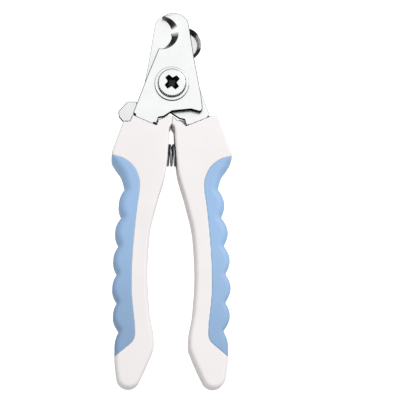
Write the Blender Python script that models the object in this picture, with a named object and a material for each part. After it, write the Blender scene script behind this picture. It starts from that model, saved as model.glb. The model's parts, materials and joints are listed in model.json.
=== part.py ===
"""Pliers-type pet nail trimmer, lying on its back with the handles closed.

+Z is up through the head, +Y points to the blade tips and +X to the right handle. The origin is on the
ground under the middle of the object's box. The left handle carries the front blade and the pivot; the
right handle, with the rear blade, turns about the pivot by +Z. Lengths below are in millimetres, and MM
turns them into metres where a mesh is made.
"""

import math

import bmesh
import bpy
from mathutils import Matrix, Vector

MM = 0.001
GAP = 0.3  # left between neighbouring pieces

# Handles: two mirrored bows of one thickness, measured out from the middle line
THICK = 16.0
MID_Z = THICK / 2
EDGE_RADIUS = 2.2
TOP_Y = 35.8
TOP_OUTER = 20.1  # half width at the top corners
SHOULDER_Y = 19.2
SHOULDER_OUTER = 26.1
END_Y = -82.5
END_R = 5.1  # radius of the rounded end
END_MIDDLE = 18.2  # its centre, out from the middle line
END_CENTRE_Y = END_Y + END_R
INNER_LEAN = math.radians(25)  # slope of the inner face where it runs into the rounded end
OUTER_LEAN = math.radians(8.5)  # and of the outer side
INNER_TANGENT = (END_CENTRE_Y - END_R * math.sin(INNER_LEAN), END_MIDDLE - END_R * math.cos(INNER_LEAN))
OUTER_TANGENT = (END_CENTRE_Y - END_R * math.sin(OUTER_LEAN), END_MIDDLE + END_R * math.cos(OUTER_LEAN))
END_STEPS = 5  # sections round the end, this many degrees apart
END_STEP_DEG = 21
INNER_CURVE = [  # (y, distance from the middle line) along the inner face
    (38.0, 0.2),
    (31.8, 0.2),
    (30.9, 1.0),
    (24.8, 1.4),
    (12.5, 2.4),
    (8.9, 3.1),
    (-1.6, 6.1),
    (-17.7, 9.5),
    (-34.0, 10.3),
    (-50.2, 9.3),
    (-62.0, 7.5),
    (-65.3, 7.5),
    (-67.2, 8.1),
    (-73.0, 10.5),
    INNER_TANGENT,
]

# Finger scallops on the outer side
FIRST_VALLEY_Y = 3.5
SCALLOP_PITCH = 12.3
SCALLOPS = 5
SCALLOP_DEPTH = 2.2
CREST_CURVE = [  # (y, distance) of the line that touches the scallops' crests
    (FIRST_VALLEY_Y, 22.2),
    (-2.7, 22.8),
    (-15.0, 24.3),
    (-39.6, 25.4),
    (-51.9, 25.0),
    (-62.0, 24.2),
    (-69.0, 24.2),
    (-75.2, 23.7),
    OUTER_TANGENT,
]
HOLLOW_CURVE = [  # (y, distance) of the deep hollow under the shoulder
    (SHOULDER_Y, SHOULDER_OUTER),
    (16.6, 26.0),
    (13.4, 24.4),
    (9.4, 21.7),
    (FIRST_VALLEY_Y, 20.0),
]
GRIP_LINE = [  # (distance, y) where the soft grip meets the hard plastic
    (28.0, 18.3),
    (24.4, 17.5),
    (20.9, 16.4),
    (17.5, 13.9),
    (15.2, 10.4),
    (13.9, 4.6),
    (15.3, -7.0),
    (16.9, -25.0),
    (17.2, -41.3),
    (15.7, -57.0),
    (16.4, -62.2),
    (20.4, -66.0),
    (28.0, -72.1),
]

# Head: the pivot, the two blades and the layers behind them
PIVOT = Vector((0.0, 50.5))
BLADE = 3.0
FRONT_Z = MID_Z + GAP / 2
REAR_Z = MID_Z - GAP / 2 - BLADE
SLEEVE_R = 2.9
BORE_R = 3.2
TIP_Y = 82.5
TIP_CENTRE = Vector((0.8, 75.3))
NOTCH_EDGE = Vector((-7.2, 73.67))  # centre of the cutting edge, on the face that meets the other blade
NOTCH_EDGE_R = 7.42
NOTCH_FACE = Vector((-4.45, 73.4))  # centre of the bevel's arc on the outer face
NOTCH_FACE_R = 7.1

# Layers on the pivot, from the screw's head down to the nut's flange
LAYER_GAP = 0.2
FRONT_WASHER_R = 7.5
FRONT_WASHER_THICK = 0.8
HEAD_R = 6.35
HEAD_CHAMFER = 0.35
HEAD_SIDE = 2.1  # height of the head's knurled side
HEAD_DOME = 0.75  # height of the dome on it
SHANK_R = 1.7
SHANK_END_Z = 1.2
RECESS_LENGTH = 6.4
RECESS_WIDTH = 1.9
RECESS_DEPTH = 1.6
RECESS_TURN = 40.0
NUT_Z = 0.5
NUT_FLANGE = 1.4
NUT_R = 5.4
THREAD_R = 2.0
WAVE_WASHER = (5.0, 2.1, 2.55)  # outer radius, lowest and highest z
REAR_WASHER = (6.0, 2.75, 3.25)

# Tang of each blade, in a slot of its handle, and the two pins that hold it
TANG_END_Y = 13.0
PIN_YS = (16.5, 26.5)
PIN_X = 11.6
PIN_R = 1.2
PIN_HALF = 4.0

TANG_TOP = 45.0  # the slot for the tang is cut up to here

# Plastic's top edge in front of each blade, (distance, y) from the outer side to the middle
SEAT_EDGES = {
    "left": [(17.3, 35.8), (6.8, 31.3), (6.0, 33.7), (3.7, 34.5), (0.9, 36.4), (-2.0, 36.4)],
    "right": [(17.4, 35.8), (6.0, 31.0), (3.9, 33.1), (2.1, 33.6), (-1.0, 36.4), (-2.0, 36.4)],
}

# Spring between the handles
SPRING_Y = 19.3
SPRING_R = 4.5
WIRE_R = 0.5
SPRING_TURNS = 9
SPRING_HALF = 7.2
POCKET_R = 5.6
POCKET_END = 7.8
STUD_R = 3.1  # stud inside each end of the coil
STUD_LENGTH = 3.6

# Latch lever on the left handle
LATCH = Vector((-14.2, 33.6))
LATCH_Z = 5.4
LATCH_THICK = 1.8
NOSE_REACH = 5.4
NOSE_R = 0.9
NOSE_TURN = -7.0
HUB_R = 3.0
TAB_REACH = 11.4  # the tab sweeps this circle round the rivet
TAB_EDGE = [(-18.0, 33.7), (-20.8, 33.9), (-23.0, 36.5), (-23.2, 38.9), (-19.3, 43.3), (-15.3, 43.3)]
TAB_CORNER = [(-16.6, 50.0), (-17.0, 36.0), (-18.3, 33.0), (-30.0, 32.7), (-30.0, 50.0)]
RIVET_R = 1.3
RIVET_HEAD_R = 2.3
RIVET_END_Z = 1.5
LATCH_WASHER = (2.6, 4.65, 5.15)  # outer radius, lowest and highest z
ROOM_FLOOR = 4.4

# Guard behind the rear blade
GUARD = Vector((5.9, 70.0))
GUARD_Z = 3.45
GUARD_THICK = 1.1
GUARD_HUB_R = 6.4
ARM_WIDTHS = ((0.62, 3.2), (0.85, 4.5))  # (share of the way to the dish, half width)
DISH_R = 7.5
DISH_FLOOR_R = 6.2
DISH_BOTTOM = 1.0
SHEET = 0.6
STOP_PIN = Vector((-1.57, 61.8))
STOP_PIN_R = 1.0

MATERIALS = {  # colour, metallic, roughness
    "steel": ((0.78, 0.79, 0.80), 1.0, 0.26),
    "polished_steel": ((0.84, 0.85, 0.86), 1.0, 0.12),
    "spring_steel": ((0.60, 0.61, 0.63), 1.0, 0.3),
    "white_plastic": ((0.86, 0.83, 0.82), 0.0, 0.38),
    "blue_grip": ((0.30, 0.50, 0.78), 0.0, 0.55),
}


# ---------------------------------------------------------------- scene and materials


def clear_scene():
    for thing in list(bpy.data.objects):
        bpy.data.objects.remove(thing, do_unlink=True)


def material(name):
    found = bpy.data.materials.get(name)
    if found:
        return found
    colour, metallic, roughness = MATERIALS[name]
    made = bpy.data.materials.new(name)
    made.use_nodes = True
    shader = made.node_tree.nodes["Principled BSDF"]
    shader.inputs["Base Color"].default_value = (*colour, 1.0)
    shader.inputs["Metallic"].default_value = metallic
    shader.inputs["Roughness"].default_value = roughness
    return made


def node(name, bm, finish, axis=(0.0, 0.0)):
    """One sub-part from a bmesh in millimetres, with its origin on the vertical axis through (x, y)."""
    bmesh.ops.recalc_face_normals(bm, faces=bm.faces)
    bmesh.ops.translate(bm, verts=bm.verts, vec=(-axis[0], -axis[1], 0.0))
    bmesh.ops.scale(bm, verts=bm.verts, vec=(MM, MM, MM))
    mesh = bpy.data.meshes.new(name)
    bm.to_mesh(mesh)
    bm.free()
    mesh.shade_smooth()
    mesh.set_sharp_from_angle(angle=math.radians(35))
    made = bpy.data.objects.new(name, mesh)
    made.location = (axis[0] * MM, axis[1] * MM, 0.0)
    bpy.context.scene.collection.objects.link(made)
    mesh.materials.append(material(finish))
    return made


def boolean(target, name, bm, operation="DIFFERENCE"):
    """Cuts, joins or intersects target with a helper shape that isn't a sub-part itself."""
    helper = node(f"cutter_{target.name}_{name}", bm, "steel")
    helper.hide_render = True
    helper.display_type = "WIRE"
    step = target.modifiers.new(name, "BOOLEAN")
    step.operation = operation
    step.solver = "EXACT"
    step.object = helper


# ---------------------------------------------------------------- curves in plan


def smooth_value(points, y):
    """Value at y of a curve through (y, value) points listed from high y to low, with no overshoot."""
    slopes = []
    for (y0, v0), (y1, v1) in zip(points, points[1:]):
        slopes.append((v1 - v0) / (y1 - y0))
    tangents = [slopes[0]]
    for before, after in zip(slopes, slopes[1:]):
        same_way = before * after > 0
        tangents.append(2 * before * after / (before + after) if same_way else 0.0)
    tangents.append(slopes[-1])
    y = min(max(y, points[-1][0]), points[0][0])
    for i, ((y0, v0), (y1, v1)) in enumerate(zip(points, points[1:])):
        if y >= y1:
            break
    span = y1 - y0
    t = (y - y0) / span
    from_start = (2 * t**3 - 3 * t**2 + 1) * v0 + (t**3 - 2 * t**2 + t) * span * tangents[i]
    from_end = (3 * t**2 - 2 * t**3) * v1 + (t**3 - t**2) * span * tangents[i + 1]
    return from_start + from_end


def smooth_path(points, steps=5):
    """A Catmull-Rom path through points in plan."""
    path = []
    ends = [points[0], *points, points[-1]]
    for p0, p1, p2, p3 in zip(ends, ends[1:], ends[2:], ends[3:]):
        for step in range(steps):
            t = step / steps
            w0 = -0.5 * t + t**2 - 0.5 * t**3
            w1 = 1 - 2.5 * t**2 + 1.5 * t**3
            w2 = 0.5 * t + 2 * t**2 - 1.5 * t**3
            w3 = -0.5 * t**2 + 0.5 * t**3
            path.append(tuple(w0 * a + w1 * b + w2 * c + w3 * d for a, b, c, d in zip(p0, p1, p2, p3)))
    path.append(tuple(points[-1]))
    return path


def arc(centre, radius, start_deg, end_deg, steps):
    points = []
    for i in range(steps + 1):
        a = math.radians(start_deg + (end_deg - start_deg) * i / steps)
        points.append((centre[0] + radius * math.cos(a), centre[1] + radius * math.sin(a)))
    return points


def mirrored(points, side):
    return [(side * x, y) for x, y in points]


def end_round(y):
    """How far the rounded end has closed at y: 1 above its centre, 0 at the tip."""
    along = min(max((END_CENTRE_Y - y) / END_R, 0.0), 1.0)
    return math.sqrt(1 - along**2)


def inner_edge(y):
    if y < INNER_TANGENT[0]:
        return END_MIDDLE - END_R * end_round(y)
    return smooth_value(INNER_CURVE, y)


def scallop(y):
    """Depth of the scalloped line below its crests: round crests, tight valleys."""
    along = (FIRST_VALLEY_Y - y) / SCALLOP_PITCH
    if not 0 <= along <= SCALLOPS + 0.5:
        return 0.0
    from_crest = abs(along - math.floor(along) - 0.5) * 2
    return SCALLOP_DEPTH * from_crest**2


def outer_edge(y):
    if y < OUTER_TANGENT[0]:
        return END_MIDDLE + END_R * end_round(y)
    if y > SHOULDER_Y:
        return TOP_OUTER + (SHOULDER_OUTER - TOP_OUTER) * (TOP_Y - y) / (TOP_Y - SHOULDER_Y)
    if y > FIRST_VALLEY_Y:
        return smooth_value(HOLLOW_CURVE, y)
    return smooth_value(CREST_CURVE, y) - scallop(y)


# ---------------------------------------------------------------- solid shapes


def prism(outline, low, high):
    bm = bmesh.new()
    face = bm.faces.new([bm.verts.new((x, y, low)) for x, y in outline])
    top = bmesh.ops.extrude_face_region(bm, geom=[face])["geom"]
    verts = [g for g in top if isinstance(g, bmesh.types.BMVert)]
    bmesh.ops.translate(bm, verts=verts, vec=(0, 0, high - low))
    return bm


def loft(rings, capped=True):
    """A closed body through rings of equal counts. Without caps the last ring joins the first."""
    bm = bmesh.new()
    rows = [[bm.verts.new(p) for p in ring] for ring in rings]
    pairs = list(zip(rows, rows[1:]))
    if not capped:
        pairs.append((rows[-1], rows[0]))
    for a, b in pairs:
        for i in range(len(a)):
            j = (i + 1) % len(a)
            bm.faces.new((a[i], a[j], b[j], b[i]))
    if capped:
        bm.faces.new(rows[0])
        bm.faces.new(rows[-1][::-1])
    return bm


def turned(profile, centre, sides, hole=False):
    """Rings of (radius, z) round a vertical axis; with a hole the profile is a closed loop."""
    rings = []
    for radius, z in profile:
        ring = arc(centre, radius, 0, 360, sides)[:-1]
        rings.append([(x, y, z) for x, y in ring])
    return loft(rings, capped=not hole)


def ring_shape(centre, inner, outer, low, high, sides=32):
    profile = [(inner, low), (outer, low), (outer, high), (inner, high)]
    return turned(profile, centre, sides, hole=True)


def rod(centre, radius, low, high, sides=20):
    return turned([(radius, low), (radius, high)], centre, sides)


def tube_along(points, radius, sides):
    """A round wire through 3-D points, with flat ends."""
    rings = []
    for i, p in enumerate(points):
        before, after = points[max(i - 1, 0)], points[min(i + 1, len(points) - 1)]
        along = (after - before).normalized()
        side = along.cross(Vector((1.0, 0.0, 0.0))).normalized()
        up = along.cross(side)
        ring = []
        for k in range(sides):
            a = 2 * math.pi * k / sides
            ring.append(p + radius * (math.cos(a) * side + math.sin(a) * up))
        rings.append(ring)
    return loft(rings)


# ---------------------------------------------------------------- handles


def handle_section(y, side):
    """Rounded rectangle across a handle at y."""
    inner, outer = inner_edge(y), outer_edge(y)
    shrink = EDGE_RADIUS * (1 - end_round(y))
    half_z = MID_Z - shrink
    half_x = (outer - inner) / 2
    middle = (outer + inner) / 2
    corner = min(EDGE_RADIUS, 0.96 * half_x)
    points = []
    for cx, cz, start in ((1, 1, 0), (-1, 1, 90), (-1, -1, 180), (1, -1, 270)):
        centre = (middle + cx * (half_x - corner), MID_Z + cz * (half_z - corner))
        points += arc(centre, corner, start, start + 90, 2)
    return [(side * x, y, z) for x, z in points]


def handle_stations():
    """Places along a handle where its section is set: close together in the scallops and at the end."""
    stations = [TOP_Y, 33.5, 31.8, 30.9, 25.0, SHOULDER_Y, 17.9, 16.4, 14.9, 13.4, 11.4, 9.4, 7.2, 5.2]
    last_valley = FIRST_VALLEY_Y - SCALLOP_PITCH * SCALLOPS
    steps = 5 * SCALLOPS
    for i in range(steps + 1):
        stations.append(FIRST_VALLEY_Y + (last_valley - FIRST_VALLEY_Y) * i / steps)
    stations += [-60.6, -62.6, -64.5, -65.9, -67.2, -70.5, -74.3]
    for i in range(END_STEPS):
        stations.append(END_CENTRE_Y - END_R * math.sin(math.radians(END_STEP_DEG * i)))
    return stations


def whole_handle(side):
    return loft([handle_section(y, side) for y in handle_stations()])


def grip_region(side, offset):
    """Prism over everything outside the grip line moved outwards by offset."""
    path = smooth_path(GRIP_LINE)
    moved = []
    for i, (x, y) in enumerate(path):
        (x0, y0), (x1, y1) = path[max(i - 1, 0)], path[min(i + 1, len(path) - 1)]
        normal = Vector((y0 - y1, x1 - x0)).normalized()
        moved.append((x + offset * normal.x, y + offset * normal.y))
    far = GRIP_LINE[0][0] + 5
    moved += [(far, moved[-1][1]), (far, moved[0][1])]
    return prism(mirrored(moved, side), -2, THICK + 2)


def tang_outline(clear):
    """The tang's part of a blade below the seat line, as (distance, y), widened by clear."""
    return [
        (8.0 - clear, 33.6),
        (9.0 - clear, TANG_END_Y - clear),
        (13.6 + clear, TANG_END_Y - clear),
        (15.8 + clear, 36.9),
    ]


def cross_rod(radius, side, start, end):
    """A rod along X at the spring's height, from start to end out from the middle line."""
    bm = rod((0, 0), radius, start, end, 24)
    bmesh.ops.rotate(bm, verts=bm.verts, matrix=Matrix.Rotation(math.radians(90 * side), 3, "Y"))
    bmesh.ops.translate(bm, verts=bm.verts, vec=(0, SPRING_Y, MID_Z))
    return bm


def make_handle(word, side, blade_low):
    core = node(f"{word}_handle", whole_handle(side), "white_plastic")
    boolean(core, "grip", grip_region(side, -GAP / 2))
    edge = SEAT_EDGES[word]
    seat = [(edge[0][0], TIP_Y), *edge, (edge[-1][0], TIP_Y)]
    boolean(core, "seat", prism(mirrored(seat, side), REAR_Z - GAP, THICK + 2))
    slot = tang_outline(GAP)
    slot += [(slot[-1][0], TANG_TOP), (slot[0][0], TANG_TOP)]
    boolean(core, "slot", prism(mirrored(slot, side), blade_low - GAP, blade_low + BLADE + GAP))
    boolean(core, "pocket", cross_rod(POCKET_R, side, -3.0, POCKET_END))
    for i, y in enumerate(PIN_YS):
        bore = rod((side * PIN_X, y), PIN_R + GAP, MID_Z - PIN_HALF - GAP, MID_Z + PIN_HALF + GAP)
        boolean(core, f"pin_bore_{i + 1}", bore)
        pin = rod((side * PIN_X, y), PIN_R, MID_Z - PIN_HALF, MID_Z + PIN_HALF)
        node(f"{word}_tang_pin_{i + 1}", pin, "steel")
    grip = node(f"{word}_grip", whole_handle(side), "blue_grip")
    boolean(grip, "region", grip_region(side, GAP / 2), "INTERSECT")
    stud = cross_rod(STUD_R, side, POCKET_END - STUD_LENGTH, POCKET_END - GAP)
    node(f"{word}_spring_seat", stud, "white_plastic")
    return core


def latch_room(core):
    """The slot in which the lever turns, and the open corner in front of its thumb tab."""
    high = FRONT_Z - GAP / 2
    boolean(core, "hub_room", rod(LATCH, NOSE_REACH + NOSE_R + 0.5, ROOM_FLOOR, high, 32))
    sweep = [tuple(LATCH), *arc(LATCH, TAB_REACH, 85, 245, 16)]
    boolean(core, "tab_room", prism(sweep, ROOM_FLOOR, high))
    boolean(core, "corner", prism(TAB_CORNER, ROOM_FLOOR + 0.2, THICK + 2))
    boolean(core, "rivet_bore", rod(LATCH, RIVET_R + GAP, 1.2, ROOM_FLOOR + 0.5))


# ---------------------------------------------------------------- blades


def blade_outline():
    """Front blade in plan, before the notch is cut: tip, right edge, free lower edge, tang, left edge."""
    tip_r = TIP_Y - TIP_CENTRE.y
    outline = arc(TIP_CENTRE, tip_r, 134, 35, 9)
    outline += [(7.6, 76.4), (9.7, 62.6), (12.8, 45.9), (13.5, 39.6), (12.8, 38.4)]
    outline += [(8.3, 39.4), (0.6, 38.5), (-0.9, 38.1), (-3.7, 36.0), (-5.8, 35.6), (-6.7, 32.6)]
    outline += mirrored(tang_outline(0.0), -1)
    outline += [(-16.8, 37.4), (-10.8, 53.6), (-5.7, 66.4)]
    return outline


def notch_cutter():
    """Slanted cone through the two notch circles; it leaves the ground bevel between them."""
    rings = []
    for z in (-1.5 * BLADE, 2.5 * BLADE):
        t = z / BLADE
        centre = NOTCH_EDGE.lerp(NOTCH_FACE, t)
        radius = NOTCH_EDGE_R + (NOTCH_FACE_R - NOTCH_EDGE_R) * t
        rings.append([(x, y, z) for x, y in arc(centre, radius, 0, 360, 48)[:-1]])
    return loft(rings)


def make_blade(name, side, low):
    """The front blade for side 1; for side -1 the same plate turned over, face to face with it."""

    def placed(bm):
        if side < 0:
            bmesh.ops.rotate(bm, verts=bm.verts, matrix=Matrix.Rotation(math.pi, 3, "Y"))
            bmesh.ops.translate(bm, verts=bm.verts, vec=(0, 0, BLADE))
        bmesh.ops.translate(bm, verts=bm.verts, vec=(0, 0, low))
        return bm

    blade = node(name, placed(prism(blade_outline(), 0, BLADE)), "steel")
    boolean(blade, "notch", placed(notch_cutter()))
    boolean(blade, "bore", placed(rod(PIVOT, BORE_R, -1, BLADE + 1, 32)))
    for i, y in enumerate(PIN_YS):
        boolean(blade, f"pin_hole_{i + 1}", placed(rod((-PIN_X, y), PIN_R + GAP, -1, BLADE + 1)))
    return blade


# ---------------------------------------------------------------- pivot hardware


def make_screw(under):
    """Domed head with a cross recess, and the shank that screws into the nut."""
    side_top = under + HEAD_SIDE
    dome = side_top + HEAD_DOME
    profile = [(SHANK_R, SHANK_END_Z), (SHANK_R, under), (HEAD_R - HEAD_CHAMFER, under)]
    profile += [(HEAD_R, under + HEAD_CHAMFER), (HEAD_R, side_top - HEAD_CHAMFER)]
    profile += [(HEAD_R - HEAD_CHAMFER, side_top), (0.7 * HEAD_R, side_top + 0.6 * HEAD_DOME)]
    profile.append((0.3 * HEAD_R, dome))
    screw = node("pivot_screw", turned(profile, PIVOT, 32), "polished_steel")
    for i in range(2):
        x, y = RECESS_LENGTH / 2, RECESS_WIDTH / 2
        slot = prism([(-x, -y), (x, -y), (x, y), (-x, y)], dome - RECESS_DEPTH, dome + 1)
        turn = Matrix.Rotation(math.radians(RECESS_TURN + 90 * i), 3, "Z")
        bmesh.ops.rotate(slot, verts=slot.verts, matrix=turn)
        bmesh.ops.translate(slot, verts=slot.verts, vec=(PIVOT.x, PIVOT.y, 0))
        boolean(screw, f"recess_{i + 1}", slot)


def make_nut(sleeve_top):
    """Flange under the layers, and the sleeve on which both blades and the guard turn."""
    flange_top = NUT_Z + NUT_FLANGE
    profile = [(THREAD_R, NUT_Z), (NUT_R - GAP, NUT_Z), (NUT_R, NUT_Z + GAP), (NUT_R, flange_top)]
    profile += [(SLEEVE_R, flange_top), (SLEEVE_R, sleeve_top), (THREAD_R, sleeve_top)]
    node("pivot_nut", turned(profile, PIVOT, 32, hole=True), "steel")


def make_pivot():
    washer_low = FRONT_Z + BLADE + LAYER_GAP
    washer_high = washer_low + FRONT_WASHER_THICK
    ring = ring_shape(PIVOT, THREAD_R + LAYER_GAP, FRONT_WASHER_R, washer_low, washer_high)
    node("front_washer", ring, "polished_steel")
    make_screw(washer_high + LAYER_GAP)
    make_nut(washer_low - LAYER_GAP)
    for name, finish, (outer, low, high) in (
        ("wave_washer", "spring_steel", WAVE_WASHER),
        ("rear_washer", "polished_steel", REAR_WASHER),
    ):
        node(name, ring_shape(PIVOT, BORE_R, outer, low, high), finish)


# ---------------------------------------------------------------- guard, latch and spring


def guard_arm():
    """Ring round the pivot and a tapering arm to the dish, in plan."""
    out = GUARD - PIVOT
    angle = math.degrees(math.atan2(out.y, out.x))
    across = Vector((-out.y, out.x)).normalized()
    outline = arc(PIVOT, GUARD_HUB_R, angle + 40, angle + 320, 20)
    outline += [tuple(PIVOT + out * along - across * half) for along, half in ARM_WIDTHS]
    outline += [tuple(PIVOT + out * along + across * half) for along, half in ARM_WIDTHS[::-1]]
    return outline


def make_guard():
    top = GUARD_Z + GUARD_THICK
    guard = node("safety_guard", prism(guard_arm(), GUARD_Z, top), "steel", PIVOT)
    boolean(guard, "bore", rod(PIVOT, BORE_R, GUARD_Z - 1, top + 1, 32))
    boolean(guard, "dish", turned([(DISH_FLOOR_R, DISH_BOTTOM), (DISH_R, top)], GUARD, 36), "UNION")
    mouth = DISH_R - SHEET
    inside = [(DISH_FLOOR_R - SHEET, DISH_BOTTOM + SHEET), (mouth, top + 0.01), (mouth, top + 1)]
    boolean(guard, "hollow", turned(inside, GUARD, 36))


def make_stop_pin(blade):
    """Rivet in the rear blade that the guard's arm rests on."""
    pin = rod(STOP_PIN, STOP_PIN_R, GUARD_Z - 2 * LAYER_GAP, MID_Z - 2 * GAP)
    node("guard_stop_pin", pin, "steel")
    boolean(blade, "stop_pin_hole", rod(STOP_PIN, STOP_PIN_R + GAP, REAR_Z - 1, MID_Z + 1))


def lever_outline():
    """Thumb tab up to the left of the rivet, hub round it, and the nose that catches the rear blade."""
    nose = LATCH + Matrix.Rotation(math.radians(NOSE_TURN), 2) @ Vector((NOSE_REACH, 0))
    outline = TAB_EDGE + arc(LATCH, HUB_R, 62, 18, 3)
    outline += arc(nose, NOSE_R, 80, -100, 6)
    outline += arc(LATCH, HUB_R, -32, -158, 6)
    return outline


def make_latch():
    top = LATCH_Z + LATCH_THICK
    lever = node("latch_lever", prism(lever_outline(), LATCH_Z, top), "steel", LATCH)
    boolean(lever, "bore", rod(LATCH, RIVET_R + GAP, LATCH_Z - 1, top + 1))
    outer, low, high = LATCH_WASHER
    node("latch_washer", ring_shape(LATCH, RIVET_R + GAP, outer, low, high, 20), "steel")
    head = top + GAP / 2
    profile = [(RIVET_R, RIVET_END_Z), (RIVET_R, head), (RIVET_HEAD_R, head), (RIVET_HEAD_R, head + 0.4)]
    profile.append((RIVET_HEAD_R - 0.4, head + 0.55))
    node("latch_rivet", turned(profile, LATCH, 20), "steel")


def make_spring():
    """Compression coil along X with its ends in the two handles' pockets."""
    steps = 14 * SPRING_TURNS
    points = []
    for i in range(steps + 1):
        a = 2 * math.pi * SPRING_TURNS * i / steps
        x = SPRING_HALF * (2 * i / steps - 1)
        points.append(Vector((x, SPRING_Y + SPRING_R * math.cos(a), MID_Z + SPRING_R * math.sin(a))))
    node("return_spring", tube_along(points, WIRE_R, 6), "spring_steel")


def main():
    clear_scene()
    left = make_handle("left", -1, FRONT_Z)
    latch_room(left)
    make_handle("right", 1, REAR_Z)
    make_blade("front_blade", 1, FRONT_Z)
    rear = make_blade("rear_blade", -1, REAR_Z)
    make_pivot()
    make_guard()
    make_stop_pin(rear)
    make_latch()
    make_spring()


main()
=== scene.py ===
"""Looks of the pet nail trimmer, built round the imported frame.

The handles and soft grips, the guard and the latch lever are meshed from distance fields, so that every
edge is rounded as moulded or stamped parts are. The blades are plates with a ground bevel in the notch,
and the pivot's hardware is turned. Lengths are in millimetres until mesh_piece() makes a mesh.
"""

import json
import math

import bmesh
import bpy
import numpy as np
from mathutils import Matrix, Vector


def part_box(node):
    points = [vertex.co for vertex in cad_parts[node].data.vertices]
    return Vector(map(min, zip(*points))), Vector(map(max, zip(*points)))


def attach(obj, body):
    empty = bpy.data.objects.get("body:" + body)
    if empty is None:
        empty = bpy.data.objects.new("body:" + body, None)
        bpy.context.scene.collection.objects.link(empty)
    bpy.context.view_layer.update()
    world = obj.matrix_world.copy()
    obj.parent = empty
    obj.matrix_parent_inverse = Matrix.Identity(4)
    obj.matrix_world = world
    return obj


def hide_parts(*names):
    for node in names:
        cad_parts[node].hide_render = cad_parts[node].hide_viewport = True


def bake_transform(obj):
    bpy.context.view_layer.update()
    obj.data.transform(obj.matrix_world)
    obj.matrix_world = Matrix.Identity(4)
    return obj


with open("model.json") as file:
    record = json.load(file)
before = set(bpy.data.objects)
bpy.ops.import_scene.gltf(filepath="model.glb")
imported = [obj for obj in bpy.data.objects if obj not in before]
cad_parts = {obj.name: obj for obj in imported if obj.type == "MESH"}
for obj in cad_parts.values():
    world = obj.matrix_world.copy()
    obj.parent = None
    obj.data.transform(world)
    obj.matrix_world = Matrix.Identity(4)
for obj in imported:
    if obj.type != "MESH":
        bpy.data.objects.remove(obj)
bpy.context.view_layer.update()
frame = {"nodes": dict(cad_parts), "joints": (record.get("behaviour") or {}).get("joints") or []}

MM = 0.001
GAP = 0.3  # between neighbouring solids of the frame


def node_box(name):
    """Lowest and highest corner of a CAD node, in millimetres."""
    low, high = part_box(name)
    return np.array(low) / MM, np.array(high) / MM


JOINTS = {joint["name"]: np.array(joint["pos_m"]) / MM for joint in frame["joints"]}
PIVOT = JOINTS["handle_open"][:2]
LATCH = JOINTS["latch_turn"][:2]

# Handles, as distances u from the middle line and places y along the tool
HANDLE_LOW, HANDLE_HIGH = node_box("right_handle")
THICK = HANDLE_HIGH[2] - HANDLE_LOW[2]
MID_Z = (HANDLE_HIGH[2] + HANDLE_LOW[2]) / 2
TOP_Y = HANDLE_HIGH[1]
TOP_OUTER = 20.1
SHOULDER_Y, SHOULDER_OUTER = 19.2, 26.1
END_Y = HANDLE_LOW[1]
END_R = 5.1
END_CENTRE = (18.2, END_Y + END_R)
INNER_LEAN, OUTER_LEAN = 25.0, 8.5  # degrees that the two sides lean where they meet the rounded end


def end_point(degrees):
    """Point (y, u) of the rounded end's circle at an angle from the outward direction."""
    a = math.radians(degrees)
    return END_CENTRE[1] + END_R * math.sin(a), END_CENTRE[0] + END_R * math.cos(a)


INNER_CURVE = [  # (y, u) along the inner face
    (38.0, 0.06), (31.6, 0.06), (31.0, 1.05), (24.8, 1.4), (12.5, 2.4), (8.9, 3.1), (-1.6, 6.1),
    (-17.7, 9.5), (-34.0, 10.3), (-50.2, 9.3), (-62.0, 7.5), (-65.3, 7.5), (-67.2, 8.1), (-73.0, 10.5),
    end_point(180 + INNER_LEAN),
]
FIRST_VALLEY_Y = 3.5
SCALLOP_PITCH = 12.3
SCALLOPS = 5
SCALLOP_DEPTH = 2.3
HOLLOW_CURVE = [  # (y, u) from the shoulder to the first valley
    (SHOULDER_Y, SHOULDER_OUTER), (16.6, 26.0), (13.4, 24.4), (9.4, 21.7), (FIRST_VALLEY_Y, 20.0),
]
CREST_CURVE = [  # (y, u) of the line that touches the finger scallops' crests
    (FIRST_VALLEY_Y, 22.3), (-2.7, 22.8), (-15.0, 24.3), (-39.6, 25.4), (-51.9, 25.0), (-62.0, 24.2),
    (-69.0, 24.2), (-75.2, 23.7), end_point(-OUTER_LEAN),
]
GRIP_LINE = [  # (u, y) where the soft grip meets the hard plastic
    (28.0, 18.3), (24.4, 17.5), (20.9, 16.4), (17.5, 13.9), (15.2, 10.4), (13.9, 4.6), (15.3, -7.0),
    (16.9, -25.0), (17.2, -41.3), (15.7, -57.0), (16.4, -62.2), (20.4, -66.0), (28.0, -72.1),
]
SEAT_EDGES = {  # (u, y) of the plastic's top edge in front of each blade
    "left": [(17.3, 35.8), (6.8, 31.3), (6.0, 33.7), (3.7, 34.5), (0.9, 36.4), (-3.0, 36.4)],
    "right": [(17.4, 35.8), (6.0, 31.0), (3.9, 33.1), (2.1, 33.6), (-1.0, 36.4), (-3.0, 36.4)],
}
CORNER_SOFTNESS = 0.45  # how far corners of the outline are smoothed in plan
CORE_INSET = 0.06  # the soft grips stand this far above the hard plastic
PARTING = 0.01  # the hard plastic and the grip overlap by twice this, so that no gap shows between them
CELL = 0.35  # mesh size of the handles
PLAN_CELL = CELL / 2

EDGE_SHADE_TILT = 0.98  # faces whose normal has a smaller upright share than this get the near-black painted edge shade
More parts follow.
